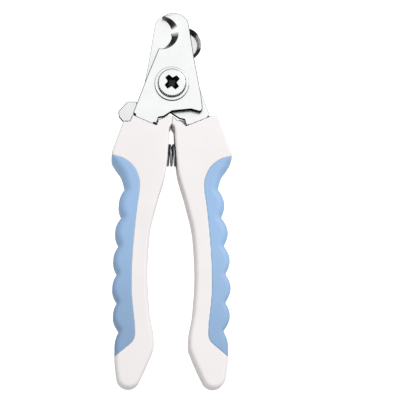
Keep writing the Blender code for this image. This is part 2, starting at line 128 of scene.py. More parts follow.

# Blades
BLADE_LOW, BLADE_HIGH = node_box("front_blade")
TIP_R = 7.2
TIP_CENTRE = (0.8, BLADE_HIGH[1] - TIP_R)
BLADE_EDGE = 0.28  # rounding of the stamped edges on the outer face
DULL_EDGE, KEEN_EDGE = 0.15, 0.015  # the same on the contact face, and along its cutting edge
BLADE_SHARP_DEG = 8
PIVOT_BORE_R = 3.2  # of everything that turns on the nut's sleeve
NOTCH_TOP_DEG = 134  # where the notch meets the tip's arc
TIP_END_DEG = 38  # where that arc runs out on the other side
NOTCH_END = (-5.7, 66.4)
NOTCH_EDGE = (-7.2, 73.67)  # centre of the cutting edge's arc, on the contact face
NOTCH_FACE = (-4.45, 73.4)  # centre of the bevel's arc, on the outer face
DISH = (5.9, 70.0)  # centre of the guard's dish
TANG = [(8.0, 33.6), (9.0, 13.0), (13.6, 13.0), (15.8, 36.9)]
PIN_X = 11.6
PIN_YS = (16.5, 26.5)
PIN_R = 1.2


# ---------------- curves in plan


def smooth_value(points, y):
    """Values at y of a smooth curve without overshoot, through (y, value) points from high y to low."""
    ys = np.array([p[0] for p in points][::-1])
    vs = np.array([p[1] for p in points][::-1])
    slopes = np.diff(vs) / np.diff(ys)
    product = slopes[1:] * slopes[:-1]
    total = slopes[1:] + slopes[:-1]
    middle = np.where(product > 0, 2 * product / np.where(total == 0, 1, total), 0.0)
    tangents = np.concatenate(([slopes[0]], middle, [slopes[-1]]))
    y = np.clip(y, ys[0], ys[-1])
    i = np.clip(np.searchsorted(ys, y) - 1, 0, len(slopes) - 1)
    span = ys[i + 1] - ys[i]
    t = (y - ys[i]) / span
    from_start = (2 * t**3 - 3 * t**2 + 1) * vs[i] + (t**3 - 2 * t**2 + t) * span * tangents[i]
    from_end = (3 * t**2 - 2 * t**3) * vs[i + 1] + (t**3 - t**2) * span * tangents[i + 1]
    return from_start + from_end


def smooth_path(points, steps=8):
    """A Catmull-Rom path through points in plan."""
    path = []
    ends = [points[0], *points, points[-1]]
    for p0, p1, p2, p3 in zip(ends, ends[1:], ends[2:], ends[3:]):
        for step in range(steps):
            t = step / steps
            w0 = -0.5 * t + t**2 - 0.5 * t**3
            w1 = 1 - 2.5 * t**2 + 1.5 * t**3
            w2 = 0.5 * t + 2 * t**2 - 1.5 * t**3
            w3 = -0.5 * t**2 + 0.5 * t**3
            path.append(tuple(w0 * a + w1 * b + w2 * c + w3 * d for a, b, c, d in zip(p0, p1, p2, p3)))
    path.append(tuple(points[-1]))
    return path


def arc(centre, radius, start_deg, end_deg, steps):
    angles = np.radians(np.linspace(start_deg, end_deg, steps + 1))
    return [(centre[0] + radius * math.cos(a), centre[1] + radius * math.sin(a)) for a in angles]


def rounded(corners, steps=5):
    """A closed path through corners (x, y, radius), each turned into an arc of its radius."""
    path = []
    for i, (x, y, radius) in enumerate(corners):
        here = Vector((x, y))
        if radius == 0:
            path.append((x, y))
            continue
        back = (Vector(corners[i - 1][:2]) - here).normalized()
        ahead = (Vector(corners[(i + 1) % len(corners)][:2]) - here).normalized()
        half = back.angle(ahead) / 2
        centre = here + (back + ahead).normalized() * (radius / math.sin(half))
        start = here + back * (radius / math.tan(half)) - centre
        turn = (math.pi - 2 * half) * (-1 if back.cross(ahead) > 0 else 1)
        for step in range(steps + 1):
            point = centre + Matrix.Rotation(turn * step / steps, 2) @ start
            path.append((point.x, point.y))
    return path


def soften(outline, width, spacing=0.4):
    """A closed outline resampled evenly, with its corners smoothed over width."""
    points = np.array(outline)
    closed = np.vstack((points, points[:1]))
    along = np.concatenate(([0], np.cumsum(np.hypot(*np.diff(closed, axis=0).T))))
    count = int(along[-1] / spacing)
    even = np.linspace(0, along[-1], count, endpoint=False)
    path = np.stack([np.interp(even, along, closed[:, k]) for k in (0, 1)], axis=1)
    reach = int(4 * width / spacing) + 1
    offsets = np.arange(-reach, reach + 1)
    weights = np.exp(-0.5 * (offsets * spacing / width) ** 2)
    weights /= weights.sum()
    return sum(w * np.roll(path, k, axis=0) for k, w in zip(offsets, weights))


def inner_edge(y):
    return smooth_value(INNER_CURVE, y)


def scallop(y):
    """Depth of the scalloped line below its crests: round crests, tight valleys."""
    along = (FIRST_VALLEY_Y - y) / SCALLOP_PITCH
    from_crest = np.abs(along - np.floor(along) - 0.5) * 2
    return np.where((along >= 0) & (along <= SCALLOPS + 0.5), SCALLOP_DEPTH * from_crest**2, 0.0)


def outer_edge(y):
    top = TOP_OUTER + (SHOULDER_OUTER - TOP_OUTER) * (TOP_Y - y) / (TOP_Y - SHOULDER_Y)
    hollow = smooth_value(HOLLOW_CURVE, y)
    scalloped = smooth_value(CREST_CURVE, y) - scallop(y)
    return np.where(y > SHOULDER_Y, top, np.where(y > FIRST_VALLEY_Y, hollow, scalloped))


def handle_outline():
    """Plan of a whole handle: down the inner face, round the end and up the outer side."""
    inner_ys = np.linspace(TOP_Y, INNER_CURVE[-1][0], 300)
    outer_ys = np.linspace(CREST_CURVE[-1][0], TOP_Y, 300)
    end = arc(END_CENTRE, END_R, 180 + INNER_LEAN, 360 - OUTER_LEAN, 24)[1:-1]
    return [*zip(inner_edge(inner_ys), inner_ys), *end, *zip(outer_edge(outer_ys), outer_ys)]


# ---------------- distance fields


class Plan:
    """Signed distance in plan to a closed outline, negative inside, looked up on a fine grid."""

    LOW = np.array((-8.0, END_Y - 3.0))
    HIGH = np.array((32.0, 48.0))

    def __init__(self, outline, low=LOW, high=HIGH, cell=PLAN_CELL):
        self.low, self.cell = np.array(low), cell
        counts = np.ceil((np.array(high) - self.low) / cell).astype(int) + 1
        x = self.low[0] + cell * np.arange(counts[0])[:, None]
        y = self.low[1] + cell * np.arange(counts[1])[None, :]
        nearest = np.full(counts, 1e9)
        inside = np.zeros(counts, bool)
        points = np.array(outline, float)
        for (x0, y0), (x1, y1) in zip(points, np.roll(points, -1, axis=0)):
            dx, dy = x1 - x0, y1 - y0
            t = np.clip(((x - x0) * dx + (y - y0) * dy) / max(dx * dx + dy * dy, 1e-12), 0, 1)
            nearest = np.minimum(nearest, (x - x0 - t * dx) ** 2 + (y - y0 - t * dy) ** 2)
            if dy != 0:
                crosses = ((y0 > y) != (y1 > y)) & (x < x0 + dx * (y - y0) / dy)
                inside ^= crosses
        self.grid = np.sqrt(nearest) * np.where(inside, -1, 1)

    def __call__(self, x, y):
        """Distances at x and y, which may be arrays of one shape or open grids."""
        x, y = np.broadcast_arrays(x, y)
        across = np.clip((x - self.low[0]) / self.cell, 0, self.grid.shape[0] - 1.001)
        along = np.clip((y - self.low[1]) / self.cell, 0, self.grid.shape[1] - 1.001)
        i, j = across.astype(int), along.astype(int)
        s, t = across - i, along - j
        near = self.grid[i, j] * (1 - t) + self.grid[i, j + 1] * t
        far = self.grid[i + 1, j] * (1 - t) + self.grid[i + 1, j + 1] * t
        return near * (1 - s) + far * s


def both(a, b, blend):
    """What lies in both shapes, with the edge between them rounded over blend."""
    h = np.clip(blend - np.abs(a - b), 0, None) / blend
    return np.maximum(a, b) + h * h * blend / 4


def either(a, b, blend):
    return -both(-a, -b, blend)


def cut(shape, hole, blend=0.5):
    return both(shape, -hole, blend)


def slab(z, low, high):
    return np.abs(z - (low + high) / 2) - (high - low) / 2


def raised(plan, z, low, high, radius):
    """A plan distance raised between two heights, with its rims rounded."""
    out = plan + radius
    up = slab(z, low, high) + radius
    corner = np.hypot(np.maximum(out, 0), np.maximum(up, 0))
    return np.minimum(np.maximum(out, up), 0) + corner - radius


def cylinder(a, b, radius):
    """Distance to a round bar, from the two distances across it."""
    return np.hypot(a, b) - radius


def net(field, low, high, cell):
    """Quads on the surface where field(x, y, z) is 0, with one vertex in each cell that it crosses."""
    axes = [np.arange(a, b + cell, cell) for a, b in zip(low, high)]
    values = field(axes[0][:, None, None], axes[1][None, :, None], axes[2][None, None, :])
    inside = values < 0
    shape = np.array(values.shape) - 1
    corners = [(i, j, k) for i in (0, 1) for j in (0, 1) for k in (0, 1)]
    count = np.zeros(shape, int)
    for i, j, k in corners:
        count += inside[i : i + shape[0], j : j + shape[1], k : k + shape[2]]
    cells = np.argwhere((count > 0) & (count < 8))
    number = np.full(shape, -1)
    number[tuple(cells.T)] = np.arange(len(cells))
    total = np.zeros((len(cells), 3))
    crossings = np.zeros(len(cells))
    for start in corners:
        for axis in range(3):
            if start[axis]:
                continue
            step = np.eye(3, dtype=int)[axis]
            a = values[tuple((cells + start).T)]
            b = values[tuple((cells + start + step).T)]
            hit = (a < 0) != (b < 0)
            share = np.where(hit, a / np.where(hit, a - b, 1), 0)
            total += (np.array(start) + share[:, None] * step) * hit[:, None]
            crossings += hit
    points = np.array(low) + cell * (cells + total / crossings[:, None])
    quads = []
    for axis in range(3):
        step = np.eye(3, dtype=int)[axis]
        u, v = (np.eye(3, dtype=int)[(axis + k) % 3] for k in (1, 2))
        grid = np.argwhere(inside != np.roll(inside, -1, axis=axis))
        grid = grid[(grid[:, axis] < shape[axis]) & (grid @ u > 0) & (grid @ v > 0)]
        grid = grid[(grid @ u < shape[(axis + 1) % 3]) & (grid @ v < shape[(axis + 2) % 3])]
        ring = [number[tuple((grid - a * u - b * v).T)] for a, b in ((1, 1), (0, 1), (0, 0), (1, 0))]
        face = np.stack(ring, axis=1)
        leaving = inside[tuple(grid.T)]
        quads.append(np.where(leaving[:, None], face, face[:, ::-1]))
    return settle(points, field, cell), np.vstack(quads)


def settle(points, field, cell):
    """Moves the net's vertices onto the surface, by at most half a cell."""
    reach = cell * 0.05
    for _ in range(2):
        x, y, z = points.T
        here = field(x, y, z)
        slope = np.stack([field(x + reach, y, z), field(x, y + reach, z), field(x, y, z + reach)], axis=1)
        slope = (slope - here[:, None]) / reach
        size = np.maximum((slope**2).sum(axis=1), 0.25)
        move = slope * (here / size)[:, None]
        points = points - np.clip(move, -cell / 2, cell / 2)
    return points


# ---------------- meshes


def mesh_piece(name, points, faces, materials, sharp_deg=None):
    """An object from points in millimetres; edges sharper than sharp_deg are shaded as edges."""
    mesh = bpy.data.meshes.new(name)
    mesh.from_pydata((np.array(points) * MM).tolist(), [], [list(map(int, f)) for f in faces])
    made = bpy.data.objects.new(name, mesh)
    bpy.context.scene.collection.objects.link(made)
    for finish in materials:
        mesh.materials.append(finish)
    tidy_normals(mesh)
    mesh.shade_smooth()
    if sharp_deg is not None:
        mesh.set_sharp_from_angle(angle=math.radians(sharp_deg))
    return made


def tidy_normals(mesh):
    bm = bmesh.new()
    bm.from_mesh(mesh)
    bmesh.ops.recalc_face_normals(bm, faces=bm.faces)
    bm.to_mesh(mesh)
    bm.free()


def skin(rings, sides, closed=False):
    """Quads between successive rings of vertices, with a cap at each end unless the last meets the first."""
    faces = []
    for i in range(rings if closed else rings - 1):
        j = (i + 1) % rings
        for k in range(sides):
            m = (k + 1) % sides
            faces.append((i * sides + k, i * sides + m, j * sides + m, j * sides + k))
    if not closed:
        faces.append(tuple(range(sides))[::-1])
        faces.append(tuple((rings - 1) * sides + k for k in range(sides)))
    return faces


def lathe(profile, centre, sides=96, closed=False, ripple=None):
    """Points and faces of a profile of (radius, z) turned round a vertical axis.

    A closed profile is a ring's section; an open one starts and ends on the axis or is capped there.
    ripple(angle, radius, z) may change the radius."""
    points = []
    for radius, z in profile:
        for k in range(sides):
            a = 2 * math.pi * k / sides
            r = ripple(a, radius, z) if ripple else radius
            points.append((centre[0] + r * math.cos(a), centre[1] + r * math.sin(a), z))
    return points, skin(len(profile), sides, closed)


def bar(centre, radius, low, high, sides=48):
    return lathe([(radius, low), (radius, high)], centre, sides)


def cut_away(piece, *cutters, finish_number=0, sharp_deg=25):
    """Cuts closed (points, faces) shapes out of a piece; finish_number is the new walls' material."""
    helpers = []
    for i, (points, faces) in enumerate(cutters):
        helper = mesh_piece(f"{piece.name}_cutter_{i}", points, faces, list(piece.data.materials))
        for face in helper.data.polygons:
            face.material_index = finish_number
        helpers.append(helper)
        step = piece.modifiers.new(helper.name, "BOOLEAN")
        step.operation = "DIFFERENCE"
        step.solver = "EXACT"
        step.object = helper
    depsgraph = bpy.context.evaluated_depsgraph_get()
    before = piece.data
    piece.data = bpy.data.meshes.new_from_object(piece.evaluated_get(depsgraph))
    piece.modifiers.clear()
    piece.data.name = piece.name
    piece.data.shade_smooth()
    piece.data.set_sharp_from_angle(angle=math.radians(sharp_deg))
    bpy.data.meshes.remove(before)
    for helper in helpers:
        bpy.data.objects.remove(helper)


def dress(piece, body, slot, node):
    """The piece rides on a body and stands for its CAD node; slot is not used."""
    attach(piece, body)
    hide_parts(node)


def paint_edge_shade(piece, number):
    """Gives every face that isn't nearly level the piece's material of that number, near-black steel that
    paints shade on the edges.
    """
    for face in piece.data.polygons:
        if abs(face.normal.z) < EDGE_SHADE_TILT:
            face.material_index = number


# ---------------- materials


def shader_tree(name, metallic=0.0, roughness=0.4):
    made = bpy.data.materials.new(name)
    made.use_nodes = True
    tree = made.node_tree
    shader = tree.nodes["Principled BSDF"]
    shader.inputs["Metallic"].default_value = metallic
    shader.inputs["Roughness"].default_value = roughness
    place = tree.nodes.new("ShaderNodeTexCoord").outputs["Object"]
    return made, tree, shader, place


def stretched(tree, place, scale):
    """Object coordinates scaled by a vector, for grain that runs one way."""
    mapping = tree.nodes.new("ShaderNodeMapping")
    mapping.inputs["Scale"].default_value = scale
    tree.links.new(place, mapping.inputs["Vector"])
    return mapping.outputs["Vector"]


def noise(tree, where, scale, detail=3.0, roughness=0.55):
    made = tree.nodes.new("ShaderNodeTexNoise")
    made.inputs["Scale"].default_value = scale
    made.inputs["Detail"].default_value = detail
    made.inputs["Roughness"].default_value = roughness
    tree.links.new(where, made.inputs["Vector"])
    return made.outputs["Fac"]


def ramp(tree, value, stops):
    """A colour ramp; stops are (position, colour or grey)."""
    made = tree.nodes.new("ShaderNodeValToRGB")
    bands = made.color_ramp.elements
    while len(bands) < len(stops):
        bands.new(0.5)
    for band, (position, colour) in zip(bands, stops):
        band.position = position
        grey = isinstance(colour, (int, float))
        band.color = (colour, colour, colour, 1) if grey else (*colour, 1)
    tree.links.new(value, made.inputs["Fac"])
    return made.outputs["Color"]


def relief(tree, shader, height, strength, depth_mm):
    bump = tree.nodes.new("ShaderNodeBump")
    bump.inputs["Strength"].default_value = strength
    bump.inputs["Distance"].default_value = depth_mm * MM
    tree.links.new(height, bump.inputs["Height"])
    tree.links.new(bump.outputs["Normal"], shader.inputs["Normal"])


def steel(name, light, dark, roughness, spread, grain, depth_mm, edge_tint=1.0):
    """Bare steel: grain is the scale of its scratches along X, Y and Z, per metre.

    edge_tint is how bright it reflects at a grazing angle."""
    made, tree, shader, place = shader_tree(name, metallic=1.0)
    scratches = noise(tree, stretched(tree, place, grain), 1.0, 4.0, 0.6)
    clouds = noise(tree, place, 90.0, 2.0)
    tree.links.new(ramp(tree, clouds, [(0.3, dark), (0.7, light)]), shader.inputs["Base Color"])
    rough = ramp(tree, scratches, [(0.25, roughness - spread), (0.75, roughness + spread)])
    tree.links.new(rough, shader.inputs["Roughness"])
    relief(tree, shader, scratches, 0.25, depth_mm)
    shader.inputs["Specular Tint"].default_value = (edge_tint, edge_tint, edge_tint, 1)
    return made


def painted_reflection_steel(name, centre, bands, metallic, depth_mm):
    """Steel whose colour is painted reflection: bright and dark bands by the direction from a centre stand
    in for what its curved face would reflect; bands are (place, shade) from -Y to +Y.
    """
    made, tree, shader, place = shader_tree(name, metallic=metallic, roughness=0.16)
    from_centre = ("SUBTRACT", (centre[0] * MM, centre[1] * MM, 0))
    out = place
    for operation, value in (from_centre, ("MULTIPLY", (1, 1, 0)), ("NORMALIZE", None)):
        step = tree.nodes.new("ShaderNodeVectorMath")
        step.operation = operation
        if value:
            step.inputs[1].default_value = value
        tree.links.new(out, step.inputs[0])
        out = step.outputs["Vector"]
    parts = tree.nodes.new("ShaderNodeSeparateXYZ")
    tree.links.new(out, parts.inputs["Vector"])
    share = tree.nodes.new("ShaderNodeMapRange")
    share.inputs["From Min"].default_value = -1.0
    tree.links.new(parts.outputs["Y"], share.inputs["Value"])
    tree.links.new(ramp(tree, share.outputs["Result"], bands), shader.inputs["Base Color"])
    relief(tree, shader, noise(tree, stretched(tree, place, (500, 500, 5200)), 1.0), 0.25, depth_mm)
    return made


def moulded(name, colour, roughness, stipple, depth_mm, sheen=0.0, painted_shade_falloff=1.0):
    """Moulded plastic: a slow drift of colour, and a fine eroded texture in gloss and relief.

    The last argument is how far the colour is darkened, as painted shade, from the head to the handles'
    ends, most on the left."""
    made, tree, shader, place = shader_tree(name)
    drift = noise(tree, place, 45.0, 2.0)
    darker = tuple(0.955 * c for c in colour)
    # Painted shade: the colour darkens along (-0.5, -0.86), towards the lower left.
    along = tree.nodes.new("ShaderNodeVectorMath")
    along.operation = "DOT_PRODUCT"
    along.inputs[1].default_value = (-0.5, -0.86, 0.0)
    tree.links.new(place, along.inputs[0])
    painted_shade_mix = tree.nodes.new("ShaderNodeMix")
    painted_shade_mix.data_type = "RGBA"
    painted_shade_mix.blend_type = "MULTIPLY"
    painted_shade_mix.inputs["Factor"].default_value = 1.0
    tree.links.new(ramp(tree, drift, [(0.3, darker), (0.7, colour)]), painted_shade_mix.inputs["A"])
    tree.links.new(ramp(tree, along.outputs["Value"], [(0.01, 1.0), (0.065, painted_shade_falloff)]), painted_shade_mix.inputs["B"])
    tree.links.new(painted_shade_mix.outputs["Result"], shader.inputs["Base Color"])
    texture = noise(tree, place, stipple, 2.0, 0.6)
    rough = ramp(tree, texture, [(0.3, roughness - 0.06), (0.7, roughness + 0.06)])
    tree.links.new(rough, shader.inputs["Roughness"])
    shader.inputs["Sheen Weight"].default_value = sheen
    shader.inputs["Sheen Roughness"].default_value = 0.4
    relief(tree, shader, texture, 0.35, depth_mm)
    return made


# Painted reflection on the front blade's notch bevel: dark at both ends, bright in the middle.
NOTCH_REFLECTION_BANDS = [(0.0, 0.05), (0.38, 0.05), (0.52, 0.85), (0.68, 0.9), (0.78, 0.06), (1.0, 0.04)]
# Painted reflection on the guard dish's inner wall and lip: dark towards -Y and +Y, bright at the sides.
DISH_REFLECTION_BANDS = [(0.0, 0.03), (0.34, 0.05), (0.44, 0.9), (0.76, 0.92), (0.84, 0.05), (1.0, 0.02)]
BLADE_STEEL = steel(
    "satin_blade_steel", (0.865, 0.87, 0.875), (0.82, 0.825, 0.83),
    roughness=0.25, spread=0.05, grain=(2600, 130, 2600), depth_mm=0.003,
)
# Near-black steel on the edges of blades, washers and the lever: painted shade for their dark outlines.
EDGE_SHADE_PAINT = steel(
    "edge_painted_shade_steel", (0.035, 0.035, 0.037), (0.02, 0.02, 0.021),
    roughness=0.36, spread=0.08, grain=(500, 500, 3000), depth_mm=0.01, edge_tint=0.08,
)
GROUND_STEEL = steel(
    "ground_bevel_steel", (0.74, 0.74, 0.75), (0.62, 0.62, 0.63),
    roughness=0.14, spread=0.05, grain=(500, 500, 5200), depth_mm=0.008,
)
NOTCH_REFLECTION_PAINT = painted_reflection_steel("notch_painted_reflection_steel", NOTCH_FACE, NOTCH_REFLECTION_BANDS, 1.0, 0.004)
DISH_REFLECTION_PAINT = painted_reflection_steel("dish_painted_reflection_steel", DISH, DISH_REFLECTION_BANDS, 0.05, 0.002)
POLISHED = steel(
    "polished_steel", (0.88, 0.885, 0.89), (0.84, 0.845, 0.85),
    roughness=0.1, spread=0.03, grain=(900, 900, 900), depth_mm=0.001,
)
SHEET = steel(
    "stamped_sheet_steel", (0.79, 0.795, 0.8), (0.73, 0.735, 0.74),
    roughness=0.2, spread=0.06, grain=(700, 700, 700), depth_mm=0.004,
)
# Near-black steel in the cross recess, the knurl's grooves and the head's steep side: painted shade.
RECESS_SHADE_PAINT = steel(
    "recess_painted_shade_steel", (0.035, 0.035, 0.037), (0.015, 0.015, 0.016),
    roughness=0.42, spread=0.08, grain=(900, 900, 900), depth_mm=0.004, edge_tint=0.08,
)
WIRE = steel(
    "drawn_wire_steel", (0.4, 0.405, 0.42), (0.26, 0.265, 0.28),
    roughness=0.26, spread=0.07, grain=(400, 2500, 2500), depth_mm=0.004,
)
WHITE = moulded("white_moulded_plastic", (0.885, 0.845, 0.845), 0.38, 2600.0, 0.012)
# Near-black plastic along the plastic's edges in front of the blades and the lever's tab: painted shadow.
RIM_SHADOW_PAINT = moulded("rim_painted_shadow_plastic", (0.05, 0.05, 0.05), 0.5, 2600.0, 0.012)
# The blue grips are darkened towards their ends as painted shade.
BLUE = moulded("blue_soft_grip", (0.325, 0.51, 0.78), 0.52, 1900.0, 0.02, sheen=0.12, painted_shade_falloff=0.72)


# ---------------- handles and grips


BODY_PLAN = Plan(soften(handle_outline(), CORNER_SOFTNESS))
GRIP_PLAN = Plan([*smooth_path(GRIP_LINE), (40.0, GRIP_LINE[-1][1]), (40.0, GRIP_LINE[0][1])])
SEAT_PLANS = {word: Plan([(edge[0][0], 60.0), *edge, (-3.0, 60.0)]) for word, edge in SEAT_EDGES.items()}


def eased(value, start, end):
    """0 before start, 1 after end, with a soft change between them."""
    share = np.clip((value - start) / (end - start), 0, 1)
    return share * share * (3 - 2 * share)


def edge_radius(u, y):
    """Rounding of a handle's rims: crisp at the head and along the inner face, full on the soft grip."""
    inside = 0.35 + 0.75 * eased(y, 32.0, 28.0) + 0.7 * eased(y, 10.0, -30.0)
    outside = 0.9 + 2.7 * eased(y, 20.0, 14.0) - 1.3 * eased(y, -5.0, -40.0) - 0.4 * eased(y, -66.0, -72.0)
    middle = (inner_edge(y) + outer_edge(y)) / 2
    return inside + (outside - inside) * eased(u - middle, -2.0, 2.0)


def handle_body(u, y, z, inset=0.0):
    """The whole handle, hard plastic and grip together."""
    low, high = MID_Z - THICK / 2 + inset, MID_Z + THICK / 2 - inset
    return raised(BODY_PLAN(u, y), z, low, high, edge_radius(u, y))


def tang_plan(clear):
    (u0, y0), (u1, y1), (u2, y2), (u3, y3) = TANG
    return Plan([(u0 - clear, 45), (u0 - clear, y0), (u1 - clear, y1 - clear), (u2 + clear, y2 - clear),
                 (u3 + clear, y3), (u3 + clear, 45)])


SLOT_PLAN = tang_plan(GAP)
SPRING_LOW, SPRING_HIGH = node_box("return_spring")
SPRING_Y = (SPRING_LOW[1] + SPRING_HIGH[1]) / 2
POCKET_R, POCKET_END = 5.6, 7.8  # the spring's pocket and how far out it reaches
PIN_BORE_HALF = 4.3  # half length of the tang pins' bores
RIM_WIDTH, RIM_DEPTH = 0.33, 3.0  # strip painted dark as shadow along the plastic's edges in front of the blades
SEAT_LOW = node_box("rear_blade")[0][2] - GAP  # below this the plastic reaches up behind the blades


def hard_plastic(u, y, z, blade_low, blade_high, seat):
    shape = handle_body(u, y, z, CORE_INSET)
    shape = both(shape, -PARTING - GRIP_PLAN(u, y), 0.1)
    shape = cut(shape, np.maximum(seat(u, y), SEAT_LOW - z), 0.3)
    slot = np.maximum(SLOT_PLAN(u, y), slab(z, blade_low - GAP, blade_high + GAP))
    shape = cut(shape, slot, 0.4)
    pocket = np.maximum(cylinder(y - SPRING_Y, z - MID_Z, POCKET_R), u - POCKET_END)
    shape = cut(shape, pocket, 0.5)
    for pin_y in PIN_YS:
        reach = slab(z, MID_Z - PIN_BORE_HALF, MID_Z + PIN_BORE_HALF)
        bore = np.maximum(cylinder(u - PIN_X, y - pin_y, PIN_R + GAP), reach)
        shape = cut(shape, bore, 0.2)
    return shape


LEVER_LOW, LEVER_HIGH = node_box("latch_lever")
LATCH_BORE_R = 1.6
LATCH_BORE_LOW = 1.2
ROOM_FLOOR = LEVER_LOW[2] - 1.0
ROOM_TOP = BLADE_LOW[2] - GAP / 2
HUB_ROOM_R, TAB_ROOM_R = 6.8, 11.4  # room round the rivet for the lever's hub and for its tab
SWEEP_PLAN = Plan([(-LATCH[0], LATCH[1]), *[(-x, y) for x, y in arc(LATCH, TAB_ROOM_R, 85, 245, 40)]])
CORNER_PLAN = Plan([(16.6, 60.0), (17.0, 36.0), (18.3, 33.0), (40.0, 32.5), (40.0, 60.0)])


def latch_cuts(shape, u, y, z):
    """The slot in which the lever turns, and the open corner in front of its thumb tab."""
    room = slab(z, ROOM_FLOOR, ROOM_TOP)
    across, along = u + LATCH[0], y - LATCH[1]
    shape = cut(shape, np.maximum(cylinder(across, along, HUB_ROOM_R), room), 0.4)
    shape = cut(shape, np.maximum(SWEEP_PLAN(u, y), room), 0.4)
    shape = cut(shape, np.maximum(CORNER_PLAN(u, y), ROOM_FLOOR + 0.2 - z), 0.5)
    bore = np.maximum(cylinder(across, along, LATCH_BORE_R), slab(z, LATCH_BORE_LOW, ROOM_FLOOR + 1))
    return cut(shape, bore, 0.2)


def make_handle(word, side, blade):
    blade_low, blade_high = node_box(blade)
    seat = SEAT_PLANS[word]

    def core(x, y, z):
        u = side * x
        shape = hard_plastic(u, y, z, blade_low[2], blade_high[2], seat)
        return latch_cuts(shape, u, y, z) if side < 0 else shape

    def grip(x, y, z):
        u = side * x
        return both(handle_body(u, y, z), GRIP_PLAN(u, y) - PARTING, 0.2)

    for name, field, finish, slot in (
        (f"{word}_handle", core, WHITE, "white_plastic"),
        (f"{word}_grip", grip, BLUE, "blue_grip"),
    ):
        low, high = node_box(name)
        points, quads = net(field, low - 3 * CELL, high + 3 * CELL, CELL)
        shell = mesh_piece(f"{name}_shell", points, quads, [finish, RIM_SHADOW_PAINT])
        dress(shell, word, slot, name)
        if finish == WHITE:
            # The rim in front of the blade gets the painted shadow.
            paint_rim_shadow(shell, side, [seat, CORNER_PLAN] if side < 0 else [seat])


def paint_rim_shadow(shell, side, plans):
    """Paints the shell's rim in front of the blade, and beside the lever's tab, dark: painted shadow where
    the plastic's edge meets the steel.
    """
    faces = shell.data.polygons
    centres = np.empty(3 * len(faces), np.float32)
    faces.foreach_get("center", centres)
    x, y, z = centres.reshape(-1, 3).T / MM
    near = np.min([np.abs(plan(side * x, y)) for plan in plans], axis=0)
    rim = (near < RIM_WIDTH) & (z > THICK - RIM_DEPTH) & (y < TOP_Y - RIM_WIDTH)
    faces.foreach_set("material_index", rim.astype(np.int32))


# ---------------- blades


def blade_outlines():
    """Plan of the front blade on its outer and on its contact face, and where the notch starts in both."""
    corners = [(x, y, 0) for x, y in arc(TIP_CENTRE, TIP_R, NOTCH_TOP_DEG, TIP_END_DEG, 28)]
    corners += [(7.1, 78.8, 3.0), (7.7, 75.6, 12.0), (9.7, 62.6, 30.0), (12.8, 45.9, 20.0)]
    corners += [(13.5, 39.6, 1.2), (12.6, 38.3, 0.8), (8.3, 39.4, 2.0), (0.2, 38.5, 1.2)]
    corners += [(-3.5, 36.0, 1.0), (-5.8, 35.6, 0.5), (-6.7, 32.7, 0.4)]
    corners += [(-u, y, 0.4) for u, y in TANG]
    corners += [(-16.8, 37.4, 0.5), (-10.8, 53.6, 20.0), (*NOTCH_END, 0)]
    outline = rounded(corners)
    notch_steps = 48
    first = outline[0]
    faces = []
    for centre in (NOTCH_FACE, NOTCH_EDGE):
        radius = math.dist(centre, NOTCH_END)
        a = math.degrees(math.atan2(NOTCH_END[1] - centre[1], NOTCH_END[0] - centre[0]))
        b = math.degrees(math.atan2(first[1] - centre[1], first[0] - centre[0]))
        faces.append(outline + arc(centre, radius, a, b, notch_steps)[1:-1])
    return faces[0], faces[1], len(outline) - 1


def inset(outline, distance):
    """A clockwise outline moved inwards; distance may differ from point to point."""
    points = np.array(outline, float)
    ahead = np.roll(points, -1, axis=0) - points
    ahead /= np.hypot(*ahead.T)[:, None]
    back = np.roll(ahead, 1, axis=0)
    right = np.stack((ahead[:, 1] + back[:, 1], -ahead[:, 0] - back[:, 0]), axis=1)
    size = np.hypot(*right.T)
    miter = 2 / np.maximum(size, 1.0)
    return points + right / size[:, None] * (np.broadcast_to(distance, len(points)) * miter)[:, None]


def plate(top, bottom, low, high, top_edge, bottom_edge):
    """Closed plate between two outlines of equal counts, its rims rounded over the given widths."""
    rings = []
    for a in np.radians((0, 30, 60, 90)):
        z = low + bottom_edge * (1 - math.sin(a))
        rings.append((inset(bottom, bottom_edge * (1 - math.cos(a))), z))
    rings = rings[::-1]
    for a in np.radians((0, 30, 60, 90)):
        z = high - top_edge * (1 - math.sin(a))
        rings.append((inset(top, top_edge * (1 - math.cos(a))), z))
    count = len(top)
    points = []
    for ring, z in rings:
        points += [(x, y, h) for (x, y), h in zip(ring, np.broadcast_to(z, count))]
    return points, skin(len(rings), count)


def stop_pin_round():
    """Centre in plan and radius of the guard's stop pin."""
    low, high = node_box("guard_stop_pin")
    return (low + high)[:2] / 2, (high[0] - low[0]) / 2


